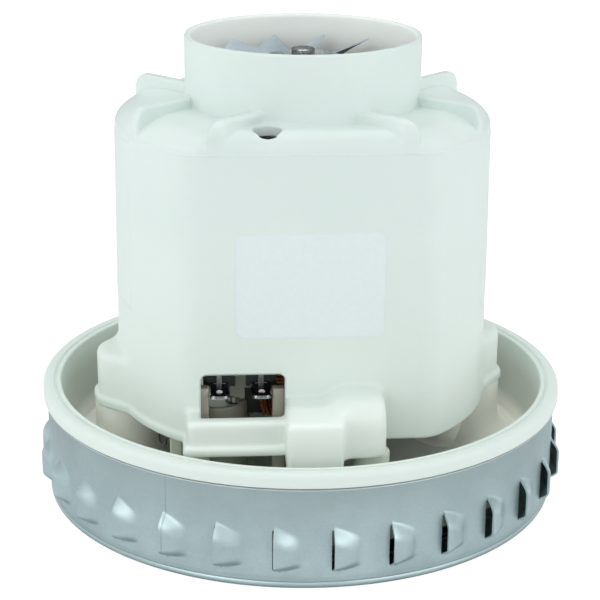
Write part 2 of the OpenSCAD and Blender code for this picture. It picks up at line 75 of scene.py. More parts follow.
# --------------------------------------------------------------- materials
class Nodes:
    """A material with its Principled shader, and short ways to wire it."""

    def __init__(self, name):
        self.m = bpy.data.materials.new(name)
        self.m.use_nodes = True
        self.t = self.m.node_tree
        self.b = next(n for n in self.t.nodes if n.type == "BSDF_PRINCIPLED")
        self.coord = self.t.nodes.new("ShaderNodeTexCoord")

    def add(self, kind, **vals):
        n = self.t.nodes.new(kind)
        for k, v in vals.items():
            if k in n.inputs:
                n.inputs[k].default_value = v
            else:
                setattr(n, k, v)
        return n

    def link(self, a, b):
        self.t.links.new(a, b)

    def set(self, **vals):
        for k, v in vals.items():
            self.b.inputs[k.replace("_", " ")].default_value = v

    def mapped(self, scale):
        mp = self.add("ShaderNodeMapping")
        mp.inputs["Scale"].default_value = scale
        self.link(self.coord.outputs["Object"], mp.inputs["Vector"])
        return mp.outputs["Vector"]

    def noise(self, scale, detail=2.0, rough=0.5, vec=None, distortion=0.0):
        n = self.add("ShaderNodeTexNoise", Scale=scale, Detail=detail, Roughness=rough, Distortion=distortion)
        self.link(vec if vec is not None else self.coord.outputs["Object"], n.inputs["Vector"])
        return n.outputs["Fac"]

    def ramp(self, fac, stops):
        r = self.add("ShaderNodeValToRGB")
        el = r.color_ramp.elements
        while len(el) < len(stops):
            el.new(0.5)
        for e, (pos, col) in zip(el, stops):
            e.position = pos
            e.color = (*col, 1.0) if len(col) == 3 else col
        self.link(fac, r.inputs["Fac"])
        return r.outputs["Color"]

    def remap(self, fac, a, b, lo=0.3, hi=0.7):
        n = self.add("ShaderNodeMapRange")
        n.inputs["From Min"].default_value = lo
        n.inputs["From Max"].default_value = hi
        n.inputs["To Min"].default_value = a
        n.inputs["To Max"].default_value = b
        self.link(fac, n.inputs["Value"])
        return n.outputs["Result"]

    def mixc(self, fac, a, b, mode="MIX"):
        n = self.add("ShaderNodeMix", data_type="RGBA", blend_type=mode)
        for sock, v in ((n.inputs[0], fac), (n.inputs[6], a), (n.inputs[7], b)):
            if hasattr(v, "is_output"):
                self.link(v, sock)
            elif isinstance(v, (int, float)):
                sock.default_value = v
            else:
                sock.default_value = (*v, 1.0)
        return n.outputs[2]

    def math(self, op, a, b=0.0):
        n = self.add("ShaderNodeMath", operation=op)
        for sock, v in ((n.inputs[0], a), (n.inputs[1], b)):
            if hasattr(v, "is_output"):
                self.link(v, sock)
            else:
                sock.default_value = v
        return n.outputs[0]

    def bump(self, height, strength, dist, prev=None):
        n = self.add("ShaderNodeBump", Strength=strength, Distance=dist)
        self.link(height, n.inputs["Height"])
        if prev is not None:
            self.link(prev, n.inputs["Normal"])
        return n.outputs["Normal"]

    def xyz(self):
        n = self.add("ShaderNodeSeparateXYZ")
        self.link(self.coord.outputs["Object"], n.inputs[0])
        return n.outputs

    def out(self, color=None, rough=None, normal=None, metal=None):
        if color is not None:
            self.link(color, self.b.inputs["Base Color"])
        if rough is not None:
            self.link(rough, self.b.inputs["Roughness"])
        if normal is not None:
            self.link(normal, self.b.inputs["Normal"])
        if metal is not None:
            self.link(metal, self.b.inputs["Metallic"])
        return self.m


def plastic(name, base, dark, rough=(0.30, 0.42), fine=1400.0, bump=0.10, parting=None, spec=0.45, rim=None, neck=None, foot=None, floor=None):
    """Moulded plastic: faint cloudy colour, fine skin texture, slight flow marks."""
    n = Nodes(name)
    cloud = n.noise(26.0, 4.0, 0.55)
    speck = n.noise(fine, 3.0, 0.6)
    flow = n.noise(1.0, 3.0, 0.5, n.mapped((70.0, 70.0, 260.0)))
    col = n.ramp(cloud, [(0.30, dark), (0.62, base)])
    scuff = n.noise(95.0, 6.0, 0.72)
    col = n.mixc(n.remap(scuff, 0.0, 0.10, 0.60, 0.80), col, tuple(c * 0.80 for c in base))
    rg = n.remap(cloud, rough[0], rough[1], 0.35, 0.65)
    nor = n.bump(flow, 0.05, 0.0004)
    nor = n.bump(speck, bump, 0.00025, nor)
    if parting is not None:
        # the fine line left by the parting of the mould
        z = n.xyz()[2]
        off = n.math("ABSOLUTE", n.math("SUBTRACT", z, parting))
        line = n.remap(off, 1.0, 0.0, 0.00012, 0.00032)
        broken = n.remap(n.noise(420.0, 2.0), 0.35, 1.0, 0.42, 0.56)
        line = n.math("MULTIPLY", line, broken)
        nor = n.bump(line, 0.30, 0.0003, nor)
        col = n.mixc(n.math("MULTIPLY", line, 0.55), col, (0.80, 0.88, 0.86))
    if floor is not None:
        # painted light: another tone towards the lower end
        x, y, z = n.xyz()
        low = n.remap(z, 1.0, 0.0, floor[0], floor[0] + floor[2])
        if len(floor) > 3:
            # only at the two sides, where painted light lies on the bracket floor by the pillars
            low = n.math("MULTIPLY", low, n.remap(n.math("ABSOLUTE", x), 0.0, 1.0, floor[3], floor[3] + 0.012))
        col = n.mixc(low, col, floor[1])
    if rim is not None:
        # painted light: paler outside a radius, where the part stands in the open
        x, y, z = n.xyz()
        rad = n.math("SQRT", n.math("ADD", n.math("MULTIPLY", x, x), n.math("MULTIPLY", y, y)))
        col = n.mixc(n.remap(rad, 0.0, 1.0, rim[0], rim[0] + 0.0008), col, rim[1])
    if neck is not None:
        # painted light: the bore of the thin neck is paler
        x, y, z = n.xyz()
        rad = n.math("SQRT", n.math("ADD", n.math("MULTIPLY", x, x), n.math("MULTIPLY", y, y)))
        bore = n.math("MULTIPLY", n.remap(rad, 1.0, 0.0, neck[0], neck[0] + 0.0006), n.math("GREATER_THAN", z, 0.11))
        col = n.mixc(bore, col, neck[1])
    if foot is not None:
        # painted light: paler low at the front
        x, y, z = n.xyz()
        low = n.math("MULTIPLY", n.remap(y, 1.0, 0.0, -foot[0] - 0.0004, -foot[0] + 0.0018), n.remap(z, 1.0, 0.0, foot[1] - 0.002, foot[1] + 0.002))
        col = n.mixc(low, col, foot[2])
    n.set(IOR=1.5, Specular_IOR_Level=spec)
    return n.out(col, rg, nor)


def galvanised(name, base, dark, rough=(0.30, 0.48), spangle=160.0, streak=(60.0, 60.0, 1500.0), seam=None, tilt=None):
    """Zinc-coated sheet: soft spangle, mottling and fine drawn streaks; a wrapped sheet also has a seam."""
    n = Nodes(name)
    mot = n.noise(55.0, 5.0, 0.62)
    cell = n.add("ShaderNodeTexVoronoi", Scale=spangle, Randomness=1.0)
    cell.feature = "F1"
    n.link(n.coord.outputs["Object"], cell.inputs["Vector"])
    sp = n.add("ShaderNodeSeparateColor")
    n.link(cell.outputs["Color"], sp.inputs[0])
    fine = n.noise(1500.0, 3.0, 0.7)
    streaks = n.noise(1.0, 4.0, 0.65, n.mapped(streak))
    col = n.ramp(mot, [(0.30, dark), (0.68, base)])
    col = n.mixc(n.remap(sp.outputs[0], 0.0, 0.16, 0.0, 1.0), col, tuple(min(1.0, c * 1.22) for c in base))
    col = n.mixc(n.remap(fine, 0.0, 0.22, 0.42, 0.66), col, tuple(c * 0.66 for c in base))
    col = n.mixc(n.remap(streaks, 0.0, 0.16, 0.52, 0.72), col, tuple(min(1.0, c * 1.25) for c in base))
    rg = n.remap(mot, rough[1], rough[0], 0.3, 0.7)
    nor = n.bump(fine, 0.10, 0.0002)
    nor = n.bump(streaks, 0.05, 0.0002, nor)
    if seam is not None:
        c, s = math.cos(math.radians(seam)), math.sin(math.radians(seam))
        x, y, z = n.xyz()
        across = n.math("ABSOLUTE", n.math("SUBTRACT", n.math("MULTIPLY", y, c), n.math("MULTIPLY", x, s)))
        along = n.math("ADD", n.math("MULTIPLY", x, c), n.math("MULTIPLY", y, s))
        line = n.math("MULTIPLY", n.remap(across, 1.0, 0.0, 0.00006, 0.00020), n.math("MULTIPLY", n.math("GREATER_THAN", along, 0.06), n.math("GREATER_THAN", z, 0.0045)))
        col = n.mixc(n.math("MULTIPLY", line, 0.4), col, tuple(v * 0.35 for v in base))
        nor = n.bump(n.math("SUBTRACT", 1.0, line), 0.4, 0.0002, nor)
        # painted shade: the sheet is darker towards its upper edge
        col = n.mixc(n.remap(z, 0.0, 0.74, 0.007, 0.027), col, tuple(v * 0.62 for v in base))
    if tilt is not None:
        # painted light and shade: paler where the sheet faces up, darker where it faces down
        geo = n.add("ShaderNodeNewGeometry")
        up = n.add("ShaderNodeSeparateXYZ")
        n.link(geo.outputs["Normal"], up.inputs[0])
        lean = up.outputs[2]
        if tilt[0] > 1.0:
            col = n.mixc(n.remap(lean, 0.0, 0.85, 0.06, 0.40), col, tuple(min(1.0, c * tilt[0]) for c in base))
        col = n.mixc(n.remap(lean, 0.0, 1.0, -0.04, -0.40), col, tuple(c * tilt[1] for c in base))
    n.set(Metallic=0.82)
    return n.out(col, rg, nor)


def metal(name, base, rough=(0.2, 0.34), scale=700.0, dark=0.72, metallic=1.0, bump=0.025):
    n = Nodes(name)
    a = n.noise(scale * 0.1, 4.0, 0.6)
    b = n.noise(scale * 2.0, 3.0, 0.65)
    col = n.ramp(a, [(0.28, tuple(c * dark for c in base)), (0.62, base)])
    rg = n.remap(b, rough[0], rough[1], 0.35, 0.65)
    nor = n.bump(b, bump, 0.0002)
    n.set(Metallic=metallic)
    return n.out(col, rg, nor)


def wire(name):
    """Enamelled copper winding: single strands seen as fine ridges."""
    n = Nodes(name)
    a = n.noise(120.0, 4.0, 0.6)
    col = n.ramp(a, [(0.3, (0.15, 0.045, 0.018)), (0.52, (0.38, 0.145, 0.070)), (0.72, (0.54, 0.25, 0.125))])
    rg = n.remap(a, 0.22, 0.42, 0.3, 0.7)
    nor = n.bump(n.noise(1800.0, 2.0), 0.15, 0.0002)
    n.set(Metallic=0.75)
    return n.out(col, rg, nor)


def lamination(name, base, axis=2):
    """Stack of thin steel sheets: fine even lines across the stack."""
    n = Nodes(name)
    z = n.xyz()[axis]
    saw = n.math("FRACT", n.math("MULTIPLY", z, 2000.0))
    line = n.remap(n.math("ABSOLUTE", n.math("SUBTRACT", saw, 0.5)), 1.0, 0.0, 0.38, 0.5)
    rust = n.noise(240.0, 5.0, 0.7)
    col = n.mixc(n.remap(rust, 0.0, 0.5, 0.52, 0.78), base, (0.20, 0.13, 0.08))
    col = n.mixc(n.math("SUBTRACT", 1.0, line), col, tuple(c * 0.35 for c in base))
    nor = n.bump(line, 0.5, 0.0002)
    rg = n.remap(rust, 0.35, 0.55, 0.3, 0.7)
    n.set(Metallic=0.85)
    return n.out(col, rg, nor)


def sticker(name):
    n = Nodes(name)
    fib = n.noise(700.0, 4.0, 0.6)
    cl = n.noise(40.0, 3.0, 0.5)
    col = n.ramp(fib, [(0.30, (0.755, 0.832, 0.843)), (0.66, (0.785, 0.856, 0.866))])
    nor = n.bump(cl, 0.04, 0.0006)
    nor = n.bump(fib, 0.03, 0.0001, nor)
    n.set(IOR=1.48, Specular_IOR_Level=0.4)
    return n.out(col, n.remap(cl, 0.30, 0.42, 0.35, 0.65), nor)


MAT = {
    # painted light: the cover is paler in the neck's bore, low at the front and towards its lower end
    "white_plastic": plastic("white_plastic", (0.748, 0.838, 0.806), (0.716, 0.812, 0.780), parting=0.1043,
                             neck=(0.0301, (0.97, 1.0, 0.955)), foot=(0.0475, 0.0405, (0.875, 0.950, 0.890)),
                             floor=(0.035, (0.758, 0.840, 0.784), 0.05)),
    "cream_plastic": plastic("cream_plastic", (0.735, 0.775, 0.695), (0.690, 0.735, 0.650), rough=(0.30, 0.44)),
    # painted shade: darker copies of the cream bracket plastic for the walls inside, which lie in shadow
    "bay_shaded_plastic": plastic("bay_shaded_plastic", (0.34, 0.33, 0.28), (0.29, 0.28, 0.235), rough=(0.34, 0.48)),
    "wall_shaded_plastic": plastic("wall_shaded_plastic", (0.55, 0.53, 0.45), (0.47, 0.455, 0.385), rough=(0.34, 0.48)),
    # painted shade and light: the bracket's trough is a darker copy of the cream plastic, with a painted lit rim and
    # painted light on its floor by the pillars
    "dish_lit_and_shaded_plastic": plastic("dish_lit_and_shaded_plastic", (0.615, 0.660, 0.595), (0.575, 0.622, 0.555), rough=(0.30, 0.44),
                            rim=(0.0665, (0.758, 0.842, 0.798)), floor=(0.0125, (0.97, 0.975, 0.905), 0.004, 0.034)),
    # painted light: a paler copy of the cream bracket plastic for the pillars and columns
    "pillar_lit_plastic": plastic("pillar_lit_plastic", (0.95, 0.96, 0.885), (0.92, 0.93, 0.855), rough=(0.30, 0.44)),
    "dull_wire": metal("dull_wire", (0.22, 0.22, 0.21), (0.40, 0.55), 500.0, 0.8),
    "black_plastic": plastic("black_plastic", (0.018, 0.018, 0.020), (0.010, 0.010, 0.012), rough=(0.28, 0.42)),
    "resin": plastic("resin", (0.20, 0.10, 0.055), (0.12, 0.06, 0.035)),
    "rubber": plastic("rubber", (0.022, 0.022, 0.022), (0.012, 0.012, 0.012), rough=(0.6, 0.75), bump=0.25),
    "carbon": plastic("carbon", (0.040, 0.040, 0.043), (0.022, 0.022, 0.024), rough=(0.42, 0.6), bump=0.3),
    "label": sticker("label"),
    "galvanised_sheet": galvanised("galvanised_sheet", (0.530, 0.640, 0.655), (0.440, 0.545, 0.560), rough=(0.38, 0.54)),
    # painted shade towards the casing's upper edge, and painted light and shade by slope on the casing and the fan
    # blades
    "casing_sheet": galvanised("casing_sheet", (0.560, 0.688, 0.706), (0.466, 0.582, 0.602), rough=(0.38, 0.54), seam=-122.4, tilt=(1.27, 0.66)),
    "blade_sheet": galvanised("blade_sheet", (0.640, 0.735, 0.790), (0.560, 0.655, 0.705), rough=(0.40, 0.55), tilt=(1.0, 0.22)),
    "lamination_steel": lamination("lamination_steel", (0.42, 0.43, 0.45)),
    "copper_wire": wire("copper_wire"),
    "copper_bar": metal("copper_bar", (0.80, 0.45, 0.29), (0.18, 0.32), 900.0),
    "bright_steel": metal("bright_steel", (0.74, 0.75, 0.76), (0.16, 0.30)),
    "brass": metal("brass", (0.80, 0.62, 0.30), (0.20, 0.36)),
    "cast_aluminium": metal("cast_aluminium", (0.66, 0.67, 0.68), (0.42, 0.6), 1200.0, 0.82),
    "impeller_aluminium": metal("impeller_aluminium", (0.76, 0.77, 0.78), (0.26, 0.42), 500.0, 0.85),
}

slot_of = {s["node"]: s["material_slot"] for s in frame["record"]["subparts"]}
for node, ob in frame["nodes"].items():
    ob.data.materials.clear()
    ob.data.materials.append(MAT[slot_of[node]])


# ----------------------------------------------------------------- helpers
def new_object(name, verts, faces):
    """Mesh object from points in millimetres."""
    me = bpy.data.meshes.new(name)
    v = np.asarray(verts, float) * MM
    me.from_pydata(v.tolist(), [], [tuple(int(i) for i in f) for f in faces])
    me.update()
    ob = bpy.data.objects.new(name, me)
    scene.collection.objects.link(ob)
    return ob


def quad_object(name, verts, quads):
    me = bpy.data.meshes.new(name)
    n, m, k = len(verts), len(quads), quads.shape[1]
    me.vertices.add(n)
    me.vertices.foreach_set("co", (np.asarray(verts) * MM).astype(np.float32).ravel())
    me.loops.add(k * m)
    me.loops.foreach_set("vertex_index", quads.astype(np.int32).ravel())
    me.polygons.add(m)
    me.polygons.foreach_set("loop_start", (np.arange(m) * k).astype(np.int32))
    me.update(calc_edges=True)
    me.validate()
    ob = bpy.data.objects.new(name, me)
    scene.collection.objects.link(ob)
    return ob


def put(ob, slot, body="housing", nodes=(), angle=38.0, mat=None):
    """Shade, give the material, stand for the CAD nodes and ride on the body."""
    me = ob.data
    me.materials.clear()
    me.materials.append(mat if mat is not None else MAT[slot])
    me.polygons.foreach_set("use_smooth", [True] * len(me.polygons))
    if angle is not None:
        me.set_sharp_from_angle(angle=math.radians(angle))
    me.update()
    if nodes:
        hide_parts(*nodes)
    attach(ob, body)
    return ob


def outward(ob):
    bm = bmesh.new()
    bm.from_mesh(ob.data)
    bmesh.ops.remove_doubles(bm, verts=bm.verts, dist=1e-6)
    bmesh.ops.recalc_face_normals(bm, faces=bm.faces)
    bm.to_mesh(ob.data)
    bm.free()
    ob.data.update()
    return ob


def rounded(pts, seg=4):
    """Closed profile from (a, b, radius) corners, each corner rounded."""
    out = []
    n = len(pts)
    for i in range(n):
        a0, b0, rad = pts[i]
        p, q, c = np.array(pts[i - 1][:2]), np.array(pts[(i + 1) % n][:2]), np.array((a0, b0), float)
        if rad <= 0:
            out.append((a0, b0))
            continue
        u, w = p - c, q - c
        lu, lw = np.linalg.norm(u), np.linalg.norm(w)
        u, w = u / lu, w / lw
        ang = math.acos(max(-1.0, min(1.0, float(u @ w))))
        if ang > math.pi - 0.02:
            out.append((a0, b0))
            continue
        t = min(rad / math.tan(ang / 2), 0.49 * lu, 0.49 * lw)
        rr = t * math.tan(ang / 2)
        mid = c + (u + w) / np.linalg.norm(u + w) * (rr / math.sin(ang / 2))
        s0, s1 = c + u * t - mid, c + w * t - mid
        a_s, a_e = math.atan2(s0[1], s0[0]), math.atan2(s1[1], s1[0])
        d = (a_e - a_s + math.pi) % (2 * math.pi) - math.pi
        for k in range(seg + 1):
            a = a_s + d * k / seg
            out.append((mid[0] + rr * math.cos(a), mid[1] + rr * math.sin(a)))
    return out


def lathe(name, profile, n=128, centre=(0.0, 0.0), closed=True):
    """Solid of revolution about a vertical line, from a profile of (r, z)."""
    verts, faces = [], []
    m = len(profile)
    for i in range(n):
        a = 2 * math.pi * i / n
        for r, z in profile:
            verts.append((centre[0] + r * math.cos(a), centre[1] + r * math.sin(a), z))
    for i in range(n):
        j = (i + 1) % n
        for k in range(m if closed else m - 1):
            l = (k + 1) % m
            faces.append((i * m + k, j * m + k, j * m + l, i * m + l))
    return outward(new_object(name, verts, faces))


def rbox(name, x1, x2, y1, y2, z1, z2, rad=0.8, seg=3):
    """Box with rounded edges."""
    ob = new_object(name, [(x, y, z) for x in (x1, x2) for y in (y1, y2) for z in (z1, z2)],
                    [(0, 1, 3, 2), (4, 6, 7, 5), (0, 4, 5, 1), (2, 3, 7, 6), (0, 2, 6, 4), (1, 5, 7, 3)])
    bm = bmesh.new()
    bm.from_mesh(ob.data)
    bmesh.ops.recalc_face_normals(bm, faces=bm.faces)
    bmesh.ops.bevel(bm, geom=list(bm.edges), offset=rad * MM, segments=seg, profile=0.5, affect="EDGES")
    bm.to_mesh(ob.data)
    bm.free()
    return ob


def tube_path(name, pts, rad, sides=8, caps=True):
    """Round wire along a list of points (mm)."""
    pts = np.asarray(pts, float)
    n = len(pts)
    tang = np.gradient(pts, axis=0)
    tang /= np.linalg.norm(tang, axis=1)[:, None]
    ref = np.array((0.0, 0.0, 1.0)) if abs(tang[0][2]) < 0.9 else np.array((1.0, 0.0, 0.0))
    u = np.cross(tang[0], ref)
    u /= np.linalg.norm(u)
    verts, faces = [], []
    for i in range(n):
        u = u - tang[i] * (u @ tang[i])
        u /= np.linalg.norm(u)
        w = np.cross(tang[i], u)
        for k in range(sides):
            a = 2 * math.pi * k / sides
            verts.append(pts[i] + rad * (math.cos(a) * u + math.sin(a) * w))
    for i in range(n - 1):
        for k in range(sides):
            l = (k + 1) % sides
            faces.append((i * sides + k, i * sides + l, (i + 1) * sides + l, (i + 1) * sides + k))
    if caps:
        faces.append(tuple(range(sides))[::-1])
        faces.append(tuple((n - 1) * sides + k for k in range(sides)))
    return verts, faces


def join(name, parts):
    """One object from several (verts, faces) lists."""
    verts, faces = [], []
    for v, f in parts:
        o = len(verts)
        verts.extend([tuple(p) for p in v])
        faces.extend([tuple(i + o for i in q) for q in f])
    ob = new_object(name, verts, faces)
    bm = bmesh.new()
    bm.from_mesh(ob.data)
    bmesh.ops.recalc_face_normals(bm, faces=bm.faces)
    bm.to_mesh(ob.data)
    bm.free()
    return ob


def applied(ob):
    """Replace the mesh by the result of its modifiers."""
    dg = bpy.context.evaluated_depsgraph_get()
    me = bpy.data.meshes.new_from_object(ob.evaluated_get(dg))
    old = ob.data
    ob.modifiers.clear()
    ob.data = me
    bpy.data.meshes.remove(old)
    return ob


# ------------------------------------------------- smooth solids from fields
def smin(a, b, k):
    h = np.maximum(k - np.abs(a - b), 0.0)
    return np.minimum(a, b) - h * h / (4.0 * k)


def smax(a, b, k):
    h = np.maximum(k - np.abs(a - b), 0.0)
    return np.maximum(a, b) + h * h / (4.0 * k)


def quarter(u, v, ru, rv):
    """Distance to a corner rounded by an ellipse; u, v run outwards from the
    centre of the ellipse and are the two faces' distances beyond it."""
    e, f = np.maximum(u, 0.0) / ru, np.maximum(v, 0.0) / rv
    big = (e * e + f * f - 1.0) / (2.0 * np.sqrt((e / ru) ** 2 + (f / rv) ** 2) + 1e-6)
    return np.where(v <= 0, u - ru, np.where(u <= 0, v - rv, np.maximum(big, -8.0)))


def field_net(f, lo, hi, h):
    """Quads on the zero surface of f, in cells of size h near the surface."""
    lo, hi, blk = np.array(lo, float), np.array(hi, float), 4
    nb = np.ceil((hi - lo) / (h * blk)).astype(int)
    size = nb * blk + 1
    mid = [lo[i] + (np.arange(nb[i]) + 0.5) * blk * h for i in range(3)]
    gx, gy, gz = np.meshgrid(*mid, indexing="ij")
    dc = f(gx.ravel(), gy.ravel(), gz.ravel()).reshape(nb)
    near = np.abs(dc) < blk * h * 0.5 * 1.7321 * 1.5
    sgn = np.where(dc < 0, -1.0, 1.0).astype(np.float32)
    vol = np.ones(size, np.float32)
    vol[:-1, :-1, :-1] = sgn.repeat(blk, 0).repeat(blk, 1).repeat(blk, 2)
    off = np.stack(np.meshgrid(*[np.arange(blk + 1)] * 3, indexing="ij"), -1).reshape(-1, 3)
    idx = (np.argwhere(near)[:, None, :] * blk + off[None]).reshape(-1, 3)
    flat = np.unique(np.ravel_multi_index(idx.T, size))
    vv = vol.reshape(-1)
    for part in np.array_split(flat, max(1, len(flat) // 400000)):
        i, j, k = np.unravel_index(part, size)
        vv[part] = f(lo[0] + i * h, lo[1] + j * h, lo[2] + k * h)
    ins = vol < 0
    corners = [(a, b, c) for a in (0, 1) for b in (0, 1) for c in (0, 1)]
    cnt = np.zeros([s - 1 for s in size], np.uint8)
    for a, b, c in corners:
        cnt += ins[a:size[0] - 1 + a, b:size[1] - 1 + b, c:size[2] - 1 + c]
    act = (cnt > 0) & (cnt < 8)
    cells = np.argwhere(act)
    ids = np.full(act.shape, -1, np.int64)
    ids[act] = np.arange(len(cells))
    val = {c: vol[cells[:, 0] + c[0], cells[:, 1] + c[1], cells[:, 2] + c[2]].astype(float) for c in corners}
    acc, num = np.zeros((len(cells), 3)), np.zeros(len(cells))
    for c in corners:
        for ax in range(3):
            if c[ax]:
                continue
            e = list(c)
            e[ax] = 1
            va, vb = val[c], val[tuple(e)]
            hit = (va < 0) != (vb < 0)
            t = np.where(hit, va / np.where(hit, va - vb, 1.0), 0.0)
            pos = np.tile(np.array(c, float), (len(cells), 1))
            pos[:, ax] = t
            acc[hit] += pos[hit]
            num[hit] += 1
    verts = lo + (cells + acc / num[:, None]) * h
    quads = []
    for ax in range(3):
        b, c = [(1, 2), (2, 0), (0, 1)][ax]
        s0 = [slice(None)] * 3
        s1 = [slice(None)] * 3
        s0[ax], s1[ax] = slice(0, -1), slice(1, None)
        p, q = ins[tuple(s0)], ins[tuple(s1)]
        e = np.argwhere(p != q)
        e = e[(e[:, b] > 0) & (e[:, c] > 0) & (e[:, b] < size[b] - 1) & (e[:, c] < size[c] - 1)]
        up = p[e[:, 0], e[:, 1], e[:, 2]]
        ring = []
        for db, dcc in ((-1, -1), (0, -1), (0, 0), (-1, 0)):
            g = e.copy()
            g[:, b] += db
            g[:, c] += dcc
            ring.append(ids[g[:, 0], g[:, 1], g[:, 2]])
        ring = np.stack(ring, 1)
        ring[~up] = ring[~up][:, ::-1]
        quads.append(ring)
    return verts, np.concatenate(quads)


def gradient(f, p, h=0.12):
    x, y, z = p[:, 0], p[:, 1], p[:, 2]
    return np.stack([f(x + h, y, z) - f(x - h, y, z), f(x, y + h, z) - f(x, y - h, z),
                     f(x, y, z + h) - f(x, y, z - h)], 1) / (2 * h)


def settle(f, p, times=2):
    for _ in range(times):
        g = gradient(f, p)
        l2 = np.maximum((g * g).sum(1), 0.05)
        step = np.clip(f(p[:, 0], p[:, 1], p[:, 2]) / l2, -0.4, 0.4)
        p = p - g * step[:, None]
    return p


def relax(p, quads, times=2):
    a = quads.ravel()
    b = np.roll(quads, -1, axis=1).ravel()
    i, j = np.concatenate([a, b]), np.concatenate([b, a])
    n = len(p)
    num = np.bincount(i, minlength=n)[:, None]
    for _ in range(times):
        s = np.stack([np.bincount(i, weights=p[j, k], minlength=n) for k in range(3)], 1)
        p = p + 0.5 * (s / num - p)
    return p


def field_object(name, f, lo, hi, h, faces):
    """Closed mesh of a field, thinned where it is flat, with the field's own normals."""
    p, q = field_net(f, lo, hi, h)
    p = settle(f, p, 2)
    p = settle(f, relax(p, q, 2), 2)
    ob = quad_object(name, p, q)
    ratio = faces / (2.0 * len(q))
    if ratio < 1.0:
        md = ob.modifiers.new("thin", "DECIMATE")
        md.ratio = ratio
        applied(ob)
    me = ob.data
    n = len(me.vertices)
    co = np.empty(n * 3, np.float32)
    me.vertices.foreach_get("co", co)
    p = settle(f, co.reshape(-1, 3).astype(float) / MM, 1)
    me.vertices.foreach_set("co", (p * MM).astype(np.float32).ravel())
    me.polygons.foreach_set("use_smooth", [True] * len(me.polygons))
    me.update()
    g = gradient(f, p)
    g /= np.maximum(np.linalg.norm(g, axis=1), 1e-9)[:, None]
    me.normals_split_custom_set_from_vertices(g.tolist())
    return ob


# ------------------------------------------------------------ motor cover
CR, FL, SH, DB, NECK, TOP, LOW = 50.55, 40.0, 104.3, 5.5, 31.68, 127.6, 26.9
LUG = math.radians(7.5)


def cover_side(x, y, z, r):
    # the round wall has a slight draft
    return smax(r - CR - 0.008 * np.clip(104.0 - z, 0.0, 80.0), np.abs(y) - FL, 2.2)


def cover_body(x, y, z, r, side):
    w = np.clip(0.5 + ((r - CR) - (np.abs(y) - FL)) / 8.0, 0.0, 1.0)
    a = 4.2 + 7.8 * w
    s = -side
    return quarter(a - s, z - SH, a, DB)


def cover_rib(ax, ay, z, side, m):
    """Rib along the diagonal of a quarter, m beside it, flush with the wall."""
    off = np.abs((ax - ay) * 0.70711 - m) - 1.7
    prof = np.maximum(quarter(3.82 + side, z - 108.5, 3.8, 4.2), SH + 0.1 - z)
    return smax(off, prof, 1.0)


